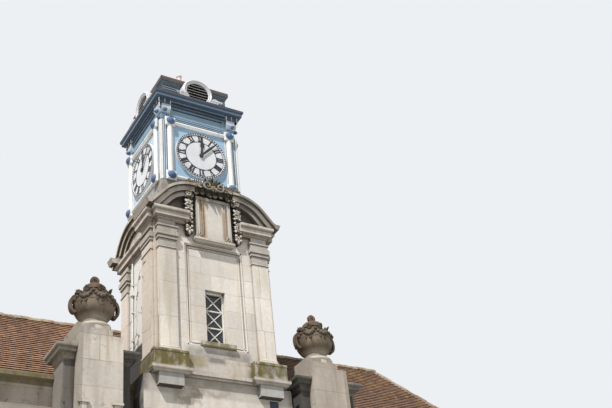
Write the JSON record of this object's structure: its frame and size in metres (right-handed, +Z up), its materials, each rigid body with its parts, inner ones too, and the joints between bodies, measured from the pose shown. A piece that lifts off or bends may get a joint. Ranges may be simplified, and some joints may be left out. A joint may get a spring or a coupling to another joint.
{
  "type": "railway station building",
  "caption": "Railway station of pale stone: hollow hipped-roof block, screen walls with urns and a tall clock tower whose dials have turning hands.",
  "frame": {"origin": "on the tower's vertical axis at ground level, on the underside of the ground floor slab", "axes": "+X along the front to the right as seen from outside, +Y from the front to the back, +Z up"},
  "size_m": [21.88, 7.775, 21.32],
  "materials": {
    "pale_stone": "weathered ashlar",
    "dressed_stone": "weathered dressed stone with lichen",
    "carved_stone": "dark weathered carving",
    "inner_floor": "plain slab",
    "roof_tile": "clay plain tiles",
    "grey_paint": "worn pale grey paint",
    "blue_paint": "dark blue paint",
    "dial_white": "matt white enamel",
    "hand_black": "black paint",
    "lead_sheet": "dull lead",
    "window_glass": "dark glass in painted bars"
  },
  "bodies": {
    "station": {"ground_floor": "inner_floor", "upper_floor": "inner_floor", "front_walls": "pale_stone", "end_walls": "pale_stone", "back_wall": "pale_stone", "storey_windows": "window_glass", "lattice_window_leaf": "window_glass", "parapet": "pale_stone", "parapet_coping": "dressed_stone", "main_roof": "roof_tile", "screen_walls": "pale_stone", "screen_cornices": "dressed_stone", "pedestals": "dressed_stone", "urns": "carved_stone", "tower_shaft": "pale_stone", "tower_plinth": "dressed_stone", "tower_brackets": "dressed_stone", "stage_walls": "pale_stone", "pilasters": "pale_stone", "stage_cornices": "dressed_stone", "pediments": "dressed_stone", "tablet": "dressed_stone", "stone_sills": "dressed_stone", "garlands": "carved_stone", "clock_stage_walls": "grey_paint", "clock_frames": "grey_paint", "blue_bosses": "blue_paint", "dials": "dial_white", "clock_frieze": "grey_paint", "frieze_brackets": "grey_paint", "clock_cornice": "lead_sheet", "attic_walls": "grey_paint", "attic_coping": "lead_sheet", "round_dormers": "grey_paint", "tower_cap": "lead_sheet", "ball_finial": "lead_sheet"},
    "front_minute": {"front_minute_hand": "hand_black"},
    "front_hour": {"front_hour_hand": "hand_black"},
    "right_minute": {"right_minute_hand": "hand_black"},
    "right_hour": {"right_hour_hand": "hand_black"},
    "back_minute": {"back_minute_hand": "hand_black"},
    "back_hour": {"back_hour_hand": "hand_black"},
    "left_minute": {"left_minute_hand": "hand_black"},
    "left_hour": {"left_hour_hand": "hand_black"}
  },
  "joints": [
    {"name": "front_minute_turn", "type": "hinge", "parent": "station", "child": "front_minute", "pos_m": [0, -1.22, 17.35], "axis": [0, 1, 0], "continuous": true},
    {"name": "front_hour_turn", "type": "hinge", "parent": "station", "child": "front_hour", "pos_m": [0, -1.22, 17.35], "axis": [0, 1, 0], "continuous": true},
    {"name": "right_minute_turn", "type": "hinge", "parent": "station", "child": "right_minute", "pos_m": [1.22, 0, 17.35], "axis": [-1, 0, 0], "continuous": true},
    {"name": "right_hour_turn", "type": "hinge", "parent": "station", "child": "right_hour", "pos_m": [1.22, 0, 17.35], "axis": [-1, 0, 0], "continuous": true},
    {"name": "back_minute_turn", "type": "hinge", "parent": "station", "child": "back_minute", "pos_m": [0, 1.22, 17.35], "axis": [0, -1, 0], "continuous": true},
    {"name": "back_hour_turn", "type": "hinge", "parent": "station", "child": "back_hour", "pos_m": [0, 1.22, 17.35], "axis": [0, -1, 0], "continuous": true},
    {"name": "left_minute_turn", "type": "hinge", "parent": "station", "child": "left_minute", "pos_m": [-1.22, 0, 17.35], "axis": [1, 0, 0], "continuous": true},
    {"name": "left_hour_turn", "type": "hinge", "parent": "station", "child": "left_hour", "pos_m": [-1.22, 0, 17.35], "axis": [1, 0, 0], "continuous": true}
  ],
  "couplings": [
    {"joint": "front_hour_turn", "follows": "front_minute_turn", "ratio": 0.083333},
    {"joint": "right_minute_turn", "follows": "front_minute_turn", "ratio": 1},
    {"joint": "right_hour_turn", "follows": "front_minute_turn", "ratio": 0.083333},
    {"joint": "back_minute_turn", "follows": "front_minute_turn", "ratio": 1},
    {"joint": "back_hour_turn", "follows": "front_minute_turn", "ratio": 0.083333},
    {"joint": "left_minute_turn", "follows": "front_minute_turn", "ratio": 1},
    {"joint": "left_hour_turn", "follows": "front_minute_turn", "ratio": 0.083333}
  ]
}
